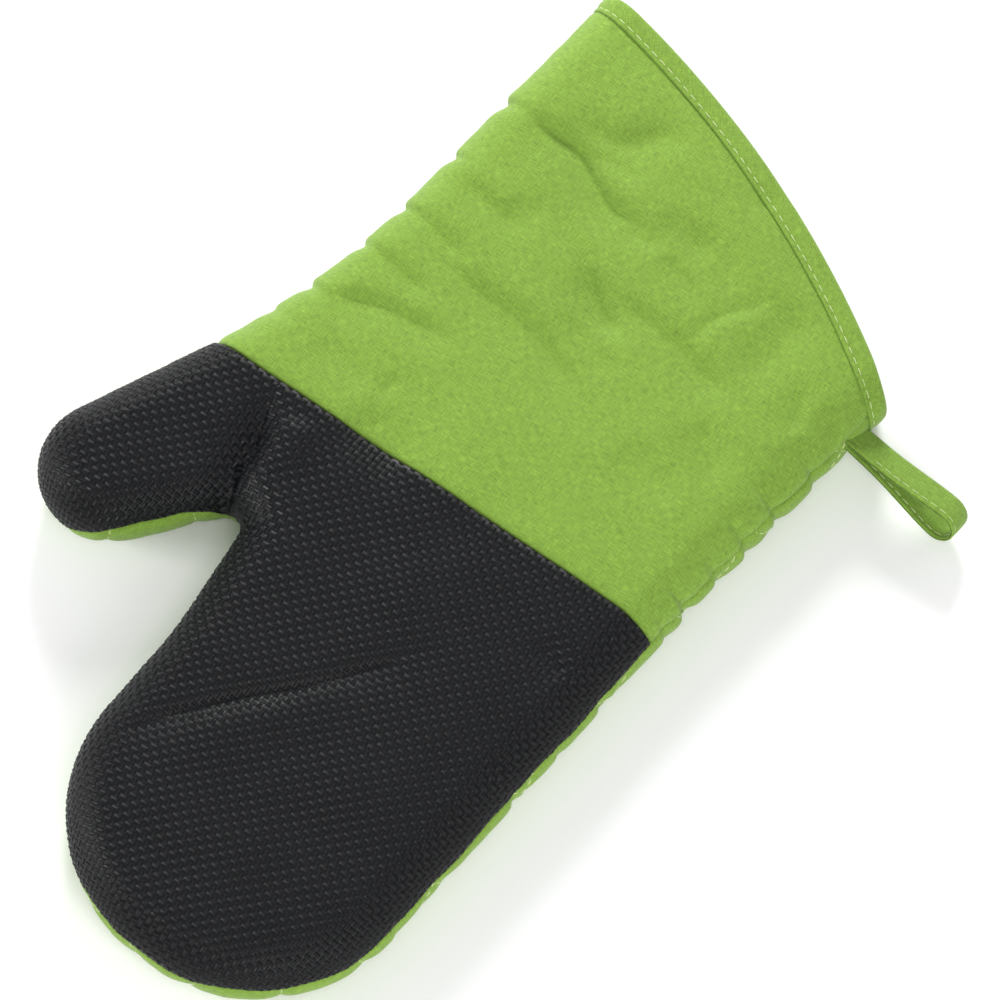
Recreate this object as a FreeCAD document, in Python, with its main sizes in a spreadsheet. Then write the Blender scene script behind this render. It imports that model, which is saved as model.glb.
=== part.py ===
import FreeCAD, Part
import math
import os
import Sketcher

# Padded oven mitt lying on its back, palm side up.
# +Z up, +Y from the finger tips to the cuff, the thumb on the -X side.
# The origin is on the rest plane, under the crossing of the hand's centre line and the wrist seam.

V = FreeCAD.Vector
doc = FreeCAD.newDocument("oven_mitt")
sheet = doc.addObject("Spreadsheet::Sheet", "P")

SIZES = {
    # Outline corners of the cut pattern, one seam turn outside the finished edge.
    "seam_turn": 1.0,
    "tip_half_width": 60.5,
    "tip_y": -184.0,
    "tip_flat": 2.0,
    "wrist_flare": 2.3,
    "wrist_right_y": 25.0,
    "wrist_right_round": 400.0,
    "mouth_flare": 10.0,
    "mouth_right_y": 150.0,
    "mouth_lean": 33.0,
    "mouth_left_y": 201.0,
    "wrist_lean": 39.8,
    "wrist_left_y": 28.0,
    "wrist_left_round": 250.0,
    "thumb_outer_reach": 81.8,
    "thumb_outer_y": -73.4,
    "thumb_inner_reach": 44.94,
    "thumb_inner_y": -95.56,
    "thumb_round": 24.4,
    "crotch_reach": 7.47,
    "crotch_y": -44.3,
    "crotch_round": 4.0,
    "knuckle_flare": 0.8,
    "knuckle_y": -92.0,
    "knuckle_round": 120.0,
    # Thickness build-up, from the outside inwards.
    "height": 30.0,
    "edge_round": 14.0,
    "skin_t": 1.8,
    "pad_t": 4.0,
    "lining_t": 1.2,
    # Curved hem and its folded tape.
    "hem_radius": 372.0,
    "hem_centre_x": -123.7,
    "hem_centre_y": -205.0,
    "tape_t": 0.8,
    "hem_tape_w": 8.0,
    # Seam between the grip and the cuff cover.
    "seam_mid_y": -1.0,
    "seam_tilt": 4.65,
    # Flex lines of the fingers and the thumb.
    "finger_fold_y": -62.0,
    "finger_zone_slack": 4.03,
    "thumb_fold_slack_x": 1.53,
    "thumb_fold_slack_y": 5.7,
    "thumb_splay": 30.0,
    "flex_gap": 0.4,
    # Stitches of the hem and the quilting.
    "stitch_len": 3.0,
    "stitch_pitch": 4.0,
    "stitch_w": 0.6,
    "stitch_h": 0.35,
    "hem_stitch_in": 6.5,
    "quilt_pitch": 28.0,
    # Hanging loop.
    "loop_mid_y": 100.0,
    "loop_len": 41.0,
    "loop_w": 9.0,
    "loop_t": 1.6,
    "loop_eye_round": 7.0,
    "loop_root_half": 2.4,
    "loop_roll": -25.0,
    "loop_drop": 10.0,
    "loop_gap": 0.9,
    "tail_len": 13.0,
}
# What follows from the sizes above.
DERIVED = {
    "tip_round": "=tip_half_width - tip_flat",
    "wrist_right_x": "=tip_half_width + wrist_flare",
    "mouth_right_x": "=tip_half_width + mouth_flare",
    "mouth_left_x": "=-(tip_half_width + mouth_lean)",
    "wrist_left_x": "=-(tip_half_width + wrist_lean)",
    "thumb_outer_x": "=-(tip_half_width + thumb_outer_reach)",
    "thumb_inner_x": "=-(tip_half_width + thumb_inner_reach)",
    "crotch_x": "=-(tip_half_width + crotch_reach)",
    "knuckle_x": "=-(tip_half_width + knuckle_flare)",
    "finger_zone_x": "=crotch_x - finger_zone_slack",
    "thumb_fold_x": "=crotch_x - thumb_fold_slack_x",
    "thumb_fold_y": "=crotch_y - thumb_fold_slack_y",
    "loop_side_x": "=wrist_right_x + (mouth_right_x - wrist_right_x) * (loop_mid_y - wrist_right_y)"
                   " / (mouth_right_y - wrist_right_y) - seam_turn",
    "loop_root_x": "=loop_side_x + loop_gap + loop_root_half",
}
for row, (name, value) in enumerate((SIZES | DERIVED).items(), start=1):
    sheet.set(f"A{row}", name)
    sheet.set(f"B{row}", str(value))
    sheet.setAlias(f"B{row}", name)
doc.recompute()


def size(name):
    return float(getattr(sheet, name))


def bind(obj, **rules):
    """Tie the properties of an object to the sheet; two underscores stand for a dot."""
    for prop, rule in rules.items():
        obj.setExpression(prop.replace("__", "."), rule)
    return obj


SKIN = "P.skin_t"
PAD = "(P.skin_t + P.pad_t)"
WALL = "(P.skin_t + P.pad_t + P.lining_t)"


# ---------------------------------------------------------------- outline

CORNERS = [
    ("tip_left", "-P.tip_half_width", "P.tip_y", "P.tip_round"),
    ("tip_right", "P.tip_half_width", "P.tip_y", "P.tip_round"),
    ("wrist_right", "P.wrist_right_x", "P.wrist_right_y", "P.wrist_right_round"),
    ("mouth_right", "P.mouth_right_x", "P.mouth_right_y", None),
    ("mouth_left", "P.mouth_left_x", "P.mouth_left_y", None),
    ("wrist_left", "P.wrist_left_x", "P.wrist_left_y", "P.wrist_left_round"),
    ("thumb_outer", "P.thumb_outer_x", "P.thumb_outer_y", "P.thumb_round"),
    ("thumb_inner", "P.thumb_inner_x", "P.thumb_inner_y", "P.thumb_round"),
    ("crotch", "P.crotch_x", "P.crotch_y", "P.crotch_round"),
    ("knuckle", "P.knuckle_x", "P.knuckle_y", "P.knuckle_round"),
]


def value_of(rule):
    sign = -1.0 if rule.startswith("-") else 1.0
    return sign * size(rule.lstrip("-")[2:])


def rounded_outline(sketch, corners):
    """A closed outline of straight edges with a tangent arc at each rounded corner."""
    count = len(corners)
    points = [V(value_of(c[1]), value_of(c[2]), 0) for c in corners]
    leave = list(points)
    reach = list(points)
    arcs = {}
    for i, corner in enumerate(corners):
        if corner[3] is None:
            continue
        back = (points[i - 1] - points[i]).normalize()
        ahead = (points[(i + 1) % count] - points[i]).normalize()
        radius = value_of(corner[3])
        half = back.getAngle(ahead) / 2
        reach[i] = points[i] + back * (radius / math.tan(half))
        leave[i] = points[i] + ahead * (radius / math.tan(half))
        centre = points[i] + (back + ahead).normalize() * (radius / math.sin(half))
        arcs[i] = (centre, radius, back.cross(ahead).z < 0)
    for i in range(count):
        sketch.addGeometry(Part.LineSegment(leave[i], reach[(i + 1) % count]), False)
    for i, (centre, radius, convex) in arcs.items():
        first, last = (reach[i], leave[i]) if convex else (leave[i], reach[i])
        start = math.atan2(first.y - centre.y, first.x - centre.x)
        stop = math.atan2(last.y - centre.y, last.x - centre.x)
        circle = Part.Circle(centre, V(0, 0, 1), radius)
        arc = sketch.addGeometry(Part.ArcOfCircle(circle, start, stop), False)
        corner = sketch.addGeometry(Part.Point(points[i]), True)
        head, tail = (1, 2) if convex else (2, 1)
        sketch.addConstraint([
            Sketcher.Constraint("PointOnObject", corner, 1, (i - 1) % count),
            Sketcher.Constraint("PointOnObject", corner, 1, i),
            Sketcher.Constraint("Tangent", (i - 1) % count, 2, arc, head),
            Sketcher.Constraint("Tangent", arc, tail, i, 1),
        ])
        arcs[i] = (arc, corner)
    for i, (name, x_rule, y_rule, round_rule) in enumerate(corners):
        where = i
        if i in arcs:
            where = arcs[i][1]
        else:
            sketch.addConstraint(Sketcher.Constraint("Coincident", (i - 1) % count, 2, i, 1))
        for kind, rule, start in (("DistanceX", x_rule, points[i].x), ("DistanceY", y_rule, points[i].y)):
            index = sketch.addConstraint(Sketcher.Constraint(kind, -1, 1, where, 1, start))
            label = f"{name}_{kind[-1].lower()}"
            sketch.renameConstraint(index, label)
            sketch.setExpression(f"Constraints.{label}", rule)
        if i in arcs:
            index = sketch.addConstraint(Sketcher.Constraint("Radius", arcs[i][0], value_of(round_rule)))
            sketch.renameConstraint(index, f"{name}_round")
            sketch.setExpression(f"Constraints.{name}_round", round_rule)


outline = doc.addObject("Sketcher::SketchObject", "pattern_outline")
rounded_outline(outline, CORNERS)
doc.recompute()


def level_edges(shape):
    """Names of the edges that lie in the top or the bottom face."""
    names = []
    for k, edge in enumerate(shape.Edges, start=1):
        heights = [v.Z for v in edge.Vertexes]
        level = max(heights) - min(heights) < 1e-6
        if level and min(abs(heights[0] - shape.BoundBox.ZMax), abs(heights[0] - shape.BoundBox.ZMin)) < 1e-6:
            names.append(f"Edge{k}")
    return names


def core(name, depth):
    """The mitt's full-round block, shrunk inwards by a depth on every side."""
    body = doc.addObject("PartDesign::Body", name)
    plan = body.newObject("PartDesign::SubShapeBinder", name + "_plan")
    plan.Relative = False
    plan.Support = [(outline, ("",))]
    bind(plan, Offset=f"-(P.seam_turn + {depth})")
    doc.recompute()
    pad = body.newObject("PartDesign::Pad", name + "_block")
    pad.Profile = plan
    bind(pad, Length=f"P.height - 2 * {depth}")
    doc.recompute()
    rounding = body.newObject("PartDesign::Fillet", name + "_edges")
    rounding.Base = (pad, level_edges(pad.Shape))
    bind(rounding, Radius=f"P.edge_round - {depth}")
    bind(body, Placement__Base__z=depth)
    doc.recompute()
    return body


def cut(name, base, tool):
    result = doc.addObject("Part::Cut", name)
    result.Base = base
    result.Tool = tool
    return result


def common(name, base, tool):
    result = doc.addObject("Part::Common", name)
    result.Base = base
    result.Tool = tool
    return result


def fuse(name, shapes):
    result = doc.addObject("Part::MultiFuse", name)
    result.Shapes = shapes
    return result


def box(name, **rules):
    return bind(doc.addObject("Part::Box", name), **rules)


def disc(name, radius):
    """A tall cylinder about the hem's centre of curvature."""
    result = doc.addObject("Part::Cylinder", name)
    return bind(result, Radius=radius, Height="P.height + 20", Placement__Base__x="P.hem_centre_x",
                Placement__Base__y="P.hem_centre_y", Placement__Base__z="-10")


# ---------------------------------------------------------------- nested blocks and shells

outer = core("block_outer", "0")
under_tape = core("block_under_tape", "P.tape_t")
under_skin = core("block_under_skin", SKIN)
under_pad = core("block_under_pad", PAD)
in_tape = core("block_in_tape", f"({WALL} - P.tape_t)")
cavity = core("block_cavity", WALL)

hem_disc = disc("hem_disc", "P.hem_radius")
layer_disc = disc("layer_disc", "P.hem_radius - P.tape_t")
band_disc = disc("band_disc", "P.hem_radius - P.hem_tape_w")

# Folded tape over the raw edges at the mouth: a channel open towards the hand.
wall_ring = common("wall_ring", cut("wall_all", outer, cavity), hem_disc)
tape_band = cut("tape_band", wall_ring, band_disc)
held_edge = common("held_edge", cut("held_all", under_tape, in_tape), layer_disc)
binding_plain = cut("binding_plain", tape_band, held_edge)

# ---------------------------------------------------------------- zones

big = "400"
palm_half = box("palm_half", Length=big, Width="500", Height="P.height", Placement__Base__x="-200",
                Placement__Base__y="-250", Placement__Base__z="P.height / 2")
back_half = box("back_half", Length=big, Width="500", Height="P.height", Placement__Base__x="-200",
                Placement__Base__y="-250", Placement__Base__z="-P.height / 2")


def finger_box(name, slack):
    return box(name, Length="200", Width="200", Height="P.height + 20", Placement__Base__x="P.finger_zone_x",
               Placement__Base__y=f"P.finger_fold_y - 200 + {slack}", Placement__Base__z="-10")


def thumb_box(name, slack):
    """A box past the thumb's fold, turned square to the thumb."""
    result = box(name, Length="120", Width="120", Height="P.height + 20")
    result.Placement.Rotation = FreeCAD.Rotation(V(0, 0, 1), 0)
    return bind(result, Placement__Rotation__Angle="-P.thumb_splay", Placement__Base__z="-10",
                Placement__Base__x=f"P.thumb_fold_x - 120 * cos(P.thumb_splay) - (120 - ({slack})) * sin(P.thumb_splay)",
                Placement__Base__y=f"P.thumb_fold_y + 120 * sin(P.thumb_splay) - (120 - ({slack})) * cos(P.thumb_splay)")


finger_zone = finger_box("finger_zone", "-P.flex_gap / 2")
finger_keepout = finger_box("finger_keepout", "P.flex_gap / 2")
thumb_zone = thumb_box("thumb_zone", "-P.flex_gap / 2")
thumb_keepout = thumb_box("thumb_keepout", "P.flex_gap / 2")
digits_keepout = fuse("digits_keepout", [finger_keepout, thumb_keepout])

cuff_zone = box("cuff_zone", Length=big, Width="300", Height="P.height + 20")
cuff_zone.Placement.Rotation = FreeCAD.Rotation(V(0, 0, 1), 0)
bind(cuff_zone, Placement__Rotation__Angle="P.seam_tilt", Placement__Base__x="-200 * cos(P.seam_tilt)",
     Placement__Base__y="P.seam_mid_y - 200 * sin(P.seam_tilt)", Placement__Base__z="-10")

# ---------------------------------------------------------------- hanging loop and its tail

# The loop's own frame: X along the loop, Y across the tape, Z through the tape.
loop_turn = FreeCAD.Rotation(V(0, 1, 0), size("loop_drop")).multiply(FreeCAD.Rotation(V(1, 0, 0), size("loop_roll")))
loop_root = V(size("loop_root_x"), size("loop_mid_y"), size("height") / 2)

loop_outline = doc.addObject("Sketcher::SketchObject", "loop_outline")
loop_outline.Placement = FreeCAD.Placement(V(0, 0, 0), FreeCAD.Rotation(V(1, 0, 0), 90))


def teardrop(sketch):
    """Side view of the loop: a round root, two legs that part, and a round eye end."""
    small = size("loop_root_half")
    large = size("loop_eye_round")
    run = size("loop_len") - large - small
    lean = math.asin((large - small) / run)
    up = V(-math.sin(lean), math.cos(lean), 0)
    down = V(up.x, -up.y, 0)
    eye = V(run, 0, 0)
    quarter = math.pi / 2 + lean
    root_circle = Part.Circle(V(0, 0, 0), V(0, 0, 1), small)
    eye_circle = Part.Circle(eye, V(0, 0, 1), large)
    sketch.addGeometry(Part.ArcOfCircle(root_circle, quarter, 2 * math.pi - quarter), False)
    sketch.addGeometry(Part.LineSegment(down * small, eye + down * large), False)
    sketch.addGeometry(Part.ArcOfCircle(eye_circle, -quarter, quarter), False)
    sketch.addGeometry(Part.LineSegment(eye + up * large, up * small), False)
    sketch.addConstraint([
        Sketcher.Constraint("Tangent", 0, 2, 1, 1),
        Sketcher.Constraint("Tangent", 1, 2, 2, 1),
        Sketcher.Constraint("Tangent", 2, 2, 3, 1),
        Sketcher.Constraint("Tangent", 3, 2, 0, 1),
        Sketcher.Constraint("Coincident", 0, 3, -1, 1),
        Sketcher.Constraint("PointOnObject", 2, 3, -1),
    ])
    for kind, geometry, rule, start in (
        ("Radius", (0,), "P.loop_root_half", small),
        ("Radius", (2,), "P.loop_eye_round", large),
        ("DistanceX", (-1, 1, 2, 3), "P.loop_len - P.loop_eye_round - P.loop_root_half", run),
    ):
        index = sketch.addConstraint(Sketcher.Constraint(kind, *geometry, start))
        sketch.setExpression(f"Constraints[{index}]", rule)


teardrop(loop_outline)
loop_inside = doc.addObject("Part::Offset2D", "loop_inside")
loop_inside.Source = loop_outline
bind(loop_inside, Value="-P.loop_t")


def loop_block(name, base, extra):
    result = doc.addObject("Part::Extrusion", name)
    result.Base = base
    result.DirMode = "Custom"
    result.Dir = V(0, -1, 0)
    result.Solid = True
    return bind(result, LengthFwd=f"P.loop_w / 2 + {extra}", LengthRev=f"P.loop_w / 2 + {extra}")


hanging_loop = cut("hanging_loop", loop_block("loop_full", loop_outline, "0"), loop_block("loop_eye", loop_inside, "1"))
hanging_loop.Placement = FreeCAD.Placement(loop_root, loop_turn)

loop_tail = box("loop_tail", Length="P.tail_len", Width="P.loop_w", Height="2 * P.loop_t")
tail_turn = FreeCAD.Rotation(V(1, 0, 0), size("loop_roll"))
tail_end = -size("loop_root_half") - size("loop_gap")
tail_back = V(tail_end - size("tail_len"), -size("loop_w") / 2, -size("loop_t"))
loop_tail.Placement = FreeCAD.Placement(loop_root + tail_turn.multVec(tail_back), tail_turn)

# ---------------------------------------------------------------- stitches


def stitch_row(name, height):
    """Dashes along the hem's curve, over the flat of the cuff."""
    radius = size("hem_radius") - size("hem_stitch_in")
    centre = V(size("hem_centre_x"), size("hem_centre_y"), height)
    step = size("stitch_pitch") / radius
    reach = size("edge_round") + 1
    dashes = []
    left = size("mouth_left_x") + size("seam_turn") + reach
    right = size("mouth_right_x") - size("seam_turn") - reach - 3
    turn = math.acos((right - centre.x) / radius)
    while True:
        spot = centre + V(radius * math.cos(turn), radius * math.sin(turn), 0)
        if spot.x < left:
            break
        dash = Part.makeBox(size("stitch_len"), size("stitch_w"), size("stitch_h"))
        dash.translate(V(-size("stitch_len") / 2, -size("stitch_w") / 2, 0))
        dash.rotate(V(0, 0, 0), V(0, 0, 1), math.degrees(turn) - 90)
        dash.translate(spot)
        dashes.append(dash)
        turn += step
    result = doc.addObject("Part::Feature", name)
    result.Shape = Part.makeCompound(dashes)
    return result


hem_stitch_palm = stitch_row("hem_stitch_palm", size("height"))
hem_stitch_back = stitch_row("hem_stitch_back", 0.0)


def loop_stitch_row():
    """Dashes along one edge of the tape on the outer face of both legs."""
    small = size("loop_root_half")
    run = size("loop_len") - size("loop_eye_round") - small
    lean = math.degrees(math.asin((size("loop_eye_round") - small) / run))
    dashes = []
    for side in (0, 180):
        for k in range(int((run - 4) / size("stitch_pitch"))):
            dash = Part.makeBox(size("stitch_len"), size("stitch_w"), size("stitch_h"))
            dash.translate(V(2 + k * size("stitch_pitch"), size("loop_w") / 2 - 1.2, small))
            dash.rotate(V(0, 0, 0), V(0, 1, 0), -lean)
            if side:
                dash = dash.mirror(V(0, 0, 0), V(0, 0, 1))
            dash = dash.mirror(V(0, 0, 0), V(0, 1, 0))
            dashes.append(dash)
    result = doc.addObject("Part::Feature", "loop_edge_stitch")
    result.Shape = Part.makeCompound(dashes)
    result.Placement = FreeCAD.Placement(loop_root, loop_turn)
    return result


loop_edge_stitch = loop_stitch_row()

# Quilting thread on the back: two crossing sets of lines, sunk into the flat of the cover.
bars = []
for lean in (45, -45):
    for k in range(-8, 9):
        bar = box(f"quilt_line_{'a' if lean > 0 else 'b'}{k + 8}", Length="600", Width="P.stitch_w", Height="P.stitch_h")
        turn = FreeCAD.Rotation(V(0, 0, 1), lean)
        start = V(-20, 0, 0) + turn.multVec(V(-300, k * size("quilt_pitch") - size("stitch_w") / 2, 0))
        bar.Placement = FreeCAD.Placement(start, turn)
        bars.append(bar)
quilt_grid = fuse("quilt_grid", bars)
flat_plan = doc.addObject("Part::Offset2D", "flat_plan")
flat_plan.Source = outline
bind(flat_plan, Value="-(P.seam_turn + P.edge_round + 1)")
flat_block = doc.addObject("Part::Extrusion", "flat_block")
flat_block.Base = flat_plan
flat_block.DirMode = "Custom"
flat_block.Dir = V(0, 0, 1)
flat_block.Solid = True
bind(flat_block, LengthFwd="P.stitch_h")
quilt_disc = disc("quilt_disc", "P.hem_radius - P.hem_tape_w - 1")
quilt_all = common("quilt_all", common("quilt_flat", quilt_grid, flat_block), quilt_disc)
quilting_thread_hand = cut("quilting_thread_hand", quilt_all, digits_keepout)
quilting_thread_fingers = common("quilting_thread_fingers", quilt_all, finger_zone)
quilting_thread_thumb = common("quilting_thread_thumb", quilt_all, thumb_zone)

# ---------------------------------------------------------------- layers of each zone

nodes = [hanging_loop, loop_tail, hem_stitch_palm, hem_stitch_back, loop_edge_stitch,
         quilting_thread_hand, quilting_thread_fingers, quilting_thread_thumb]


def named(obj, label):
    obj.Label = label
    nodes.append(obj)
    return obj


hem_binding = cut("hem_binding", cut("binding_slotted", binding_plain, loop_tail), hem_stitch_back)
nodes.append(hem_binding)

LAYERS = (("skin", outer, under_skin), ("padding", under_skin, under_pad), ("lining", under_pad, cavity))
for layer, outside, inside in LAYERS:
    shell = common(f"{layer}_shell", cut(f"{layer}_all", outside, inside), layer_disc)
    for side, half in (("palm", palm_half), ("back", back_half)):
        part = common(f"{side}_{layer}_both", shell, half)
        hand = cut(f"{side}_{layer}_hand", part, digits_keepout)
        hand = cut(f"{side}_{layer}_slotted", hand, loop_tail)
        fingers = common(f"{side}_{layer}_fingers", part, finger_zone)
        thumb = common(f"{side}_{layer}_thumb", part, thumb_zone)
        if layer == "padding":
            named(hand, f"{side}_padding")
            named(fingers, f"finger_{side}_padding")
            named(thumb, f"thumb_{side}_padding")
            continue
        hand = cut(f"{side}_{layer}_bound", hand, binding_plain)
        if layer == "lining":
            named(hand, f"{side}_lining")
            named(fingers, f"finger_{side}_lining")
            named(thumb, f"thumb_{side}_lining")
        elif side == "palm":
            named(cut("grip_hand", hand, cuff_zone), "palm_grip")
            named(common("cuff_hand", hand, cuff_zone), "cuff_palm_cover")
            named(fingers, "finger_grip")
            named(thumb, "thumb_grip")
        else:
            named(cut("back_skin_hand", hand, quilting_thread_hand), "back_cover")
            named(cut("back_skin_fingers", fingers, quilting_thread_fingers), "finger_back_cover")
            named(cut("back_skin_thumb", thumb, quilting_thread_thumb), "thumb_back_cover")

# ---------------------------------------------------------------- checks and export

doc.recompute()
for obj in doc.Objects:
    if "Invalid" in obj.State or "Error" in obj.State:
        raise RuntimeError(f"{obj.Label} is {obj.State}")
for node in nodes:
    if node.Shape.isNull() or not node.Shape.isValid() or not node.Shape.Solids:
        raise RuntimeError(f"{node.Label} has no valid solid")
os.makedirs("parts", exist_ok=True)
for node in nodes:
    node.Shape.exportStep(f"parts/{node.Label}.step")
    bound = node.Shape.BoundBox
    print(f"{node.Label:26s} {len(node.Shape.Solids):3d} solids {node.Shape.Volume:11.1f} mm3  "
          f"x {bound.XMin:.1f}..{bound.XMax:.1f}  y {bound.YMin:.1f}..{bound.YMax:.1f}  "
          f"z {bound.ZMin:.2f}..{bound.ZMax:.2f}")
print(len(nodes), "nodes")
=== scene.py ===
import math

import bpy
import numpy as np
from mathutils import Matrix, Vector, geometry, kdtree


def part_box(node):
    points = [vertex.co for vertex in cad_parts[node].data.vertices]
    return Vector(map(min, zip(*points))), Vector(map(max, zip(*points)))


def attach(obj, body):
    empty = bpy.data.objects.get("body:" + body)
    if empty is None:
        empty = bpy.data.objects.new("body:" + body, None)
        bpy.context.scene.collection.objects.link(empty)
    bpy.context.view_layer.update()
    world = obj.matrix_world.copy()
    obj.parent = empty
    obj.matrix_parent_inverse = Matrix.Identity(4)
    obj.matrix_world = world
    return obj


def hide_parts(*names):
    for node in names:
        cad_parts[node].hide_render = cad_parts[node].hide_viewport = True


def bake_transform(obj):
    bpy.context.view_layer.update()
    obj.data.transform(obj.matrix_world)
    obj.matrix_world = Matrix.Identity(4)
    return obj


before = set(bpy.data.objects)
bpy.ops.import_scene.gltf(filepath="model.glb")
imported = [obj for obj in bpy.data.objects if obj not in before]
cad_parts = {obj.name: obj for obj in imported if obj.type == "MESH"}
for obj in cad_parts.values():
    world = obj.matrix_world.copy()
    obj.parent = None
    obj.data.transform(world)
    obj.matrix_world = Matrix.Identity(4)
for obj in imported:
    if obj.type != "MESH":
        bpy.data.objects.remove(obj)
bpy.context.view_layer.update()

MM = 0.001


def add_object(name, data):
    obj = bpy.data.objects.new(name, data)
    bpy.context.scene.collection.objects.link(obj)
    return obj


# ---- camera


def add_camera():
    target = Vector((-0.0098, 0.0107, 0.013))
    azimuth, elevation, distance, width = math.radians(40), math.radians(70), 7.0, 0.3226
    back = Vector((math.sin(azimuth) * math.cos(elevation), -math.cos(azimuth) * math.cos(elevation),
                   math.sin(elevation)))
    data = bpy.data.cameras.new("camera")
    data.sensor_width = 36
    data.lens = 36 * distance / width
    data.clip_end = 20
    camera = add_object("camera", data)
    camera.location = target + back * distance
    camera.rotation_euler = (-back).to_track_quat("-Z", "Y").to_euler()
    bpy.context.scene.camera = camera


add_camera()

# ---- outline of the mitt, in mm

TURN = 1.0          # the finished edge lies this far inside the cut pattern
MID_Z = 15.0        # height of the mitt's middle plane
RIM = 14.0          # radius of the full-round edge
HEM_C = np.array([-123.7, -205.0])
HEM_R = 372.0
SEAM_TILT = math.radians(4.65)
SEAM_MID = np.array([0.0, -1.0])

CORNERS = [
    (-93.5, 201.0, 0), (-100.3, 28.0, 250), (-142.3, -73.4, 24.4), (-105.44, -95.56, 24.4), (-67.97, -44.3, 4.0),
    (-61.3, -92.0, 120), (-60.5, -184.0, 58.5), (60.5, -184.0, 58.5), (62.8, 25.0, 400), (70.5, 150.0, 0),
]


def run_along(points):
    """Distance travelled along a row of points, at each of them."""
    return np.concatenate([[0], np.cumsum(np.linalg.norm(np.diff(points, axis=0), axis=1))])


def ease(t):
    """Smooth step from 0 to 1."""
    return t * t * (3 - 2 * t)


def polar(radius, angle):
    return radius * np.stack([np.cos(angle), np.sin(angle)], -1)


def bearing(v):
    return math.atan2(v[1], v[0])


def make_outline(step=0.2):
    """The finished edge as closely spaced points with inward normals, from the mouth's left round to its right."""
    pts, nrm = [], []

    def line(a, b):
        length = np.linalg.norm(b - a)
        if length < 1.0:
            return
        n = max(2, int(length / step))
        d = (b - a) / length
        normal = np.array([-d[1], d[0]])
        for t in np.linspace(0, 1, n, endpoint=False):
            pts.append(a + (b - a) * t)
            nrm.append(normal)

    corner = [np.array(c[:2], float) for c in CORNERS]
    here = corner[0]
    for i in range(1, len(CORNERS) - 1):
        back = corner[i - 1] - corner[i]
        ahead = corner[i + 1] - corner[i]
        back /= np.linalg.norm(back)
        ahead /= np.linalg.norm(ahead)
        radius = CORNERS[i][2]
        half = math.acos(float(back @ ahead)) / 2
        reach = corner[i] + back * radius / math.tan(half)
        leave = corner[i] + ahead * radius / math.tan(half)
        mid = back + ahead
        centre = corner[i] + mid / np.linalg.norm(mid) * radius / math.sin(half)
        line(here, reach)
        convex = back[0] * ahead[1] - back[1] * ahead[0] < 0
        a0, a1 = bearing(reach - centre), bearing(leave - centre)
        if convex:
            a1 += 2 * math.pi * (a1 < a0)
        else:
            a1 -= 2 * math.pi * (a1 > a0)
        n = max(4, int(abs(a1 - a0) * radius / step))
        for a in np.linspace(a0, a1, n, endpoint=False):
            out = np.array([math.cos(a), math.sin(a)])
            pts.append(centre + out * radius)
            nrm.append(-out if convex else out)
        here = leave
    line(here, corner[-1])
    pts, nrm = np.array(pts), np.array(nrm)
    pts = pts + nrm * TURN
    return run_along(pts), pts, nrm


S, SP, SN = make_outline()


def edge(s):
    s = np.asarray(s, float)
    p, n = (np.stack([np.interp(s, S, q[:, k]) for k in (0, 1)], -1) for q in (SP, SN))
    return p, n / np.linalg.norm(n, axis=-1, keepdims=True)


def hem_at(radius):
    """Outline stations where the edge crosses a circle about the hem's centre: left and right."""
    d = np.linalg.norm(SP - HEM_C, axis=1) - radius
    k = np.where(np.diff(np.sign(d)))[0]
    roots = [S[i] + (S[i + 1] - S[i]) * d[i] / (d[i] - d[i + 1]) for i in k]
    return roots[0], roots[-1]


def seam_side(p):
    along = np.array([math.cos(SEAM_TILT), math.sin(SEAM_TILT)])
    q = p - SEAM_MID
    return along[0] * q[..., 1] - along[1] * q[..., 0]


inner_edge = SP + SN * RIM
side = seam_side(inner_edge)
cross = np.where(np.diff(np.sign(side)))[0]
SEAM_DROP = 4.5     # the seam's left end runs down the rim by this much
S_SEAM_L, S_SEAM_R = S[cross[0]] + SEAM_DROP, S[cross[-1]]
COVER_END = HEM_R - 2.0
S_HEM_L, S_HEM_R = hem_at(COVER_END)
near_crotch = np.linalg.norm(SP - np.array([-70.4, -53.4]), axis=1) < 7
S_CREASE = S[np.where(near_crotch)[0][np.argmin(np.abs(SN[near_crotch] @ np.array([0.91, 0.42])))]]
crease_foot = edge(S_CREASE)[0] + edge(S_CREASE)[1] * RIM
CREASE_TOP_X = -86.5


def seam_y(x):
    return SEAM_MID[1] + (x - SEAM_MID[0]) * math.tan(SEAM_TILT)


CREASE_TOP = np.array([CREASE_TOP_X, seam_y(CREASE_TOP_X)])


def station(x, y):
    return S[np.argmin(np.linalg.norm(SP - np.array([x, y]), axis=1))]


# Height of the side seam on the round edge, as an angle above the middle plane.
ALPHA_AT = sorted([(S_HEM_L, 2), (S_CREASE, -8), (S_HEM_R, 22)] + [(station(x, y), angle) for x, y, angle in (
    (-100, 50, -2), (-111, 0, -4), (-133, -50, -6), (-128, -80, -12), (-112, -86, -14), (-105, -84, 8),
    (-98, -80, 22), (-90, -73, 27), (-82, -62, 23), (-76, -55, 11), (-64, -60, -14), (-60, -95, -8),
    (-59, -125, -4), (-40, -170, 6), (0, -183, 10), (45, -163, 12), (59, -120, 14), (60, -60, 16), (61, -8, 14),
    (62, 4, 15), (62.5, 20, 19), (65, 70, 24))])


def alpha(s):
    base = np.interp(s, *zip(*ALPHA_AT))
    return np.radians(base + 2.0 * np.sin(s / 9.0) + 1.5 * np.sin(s / 4.3 + 1.0))


# ---- fields over the plan


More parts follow.
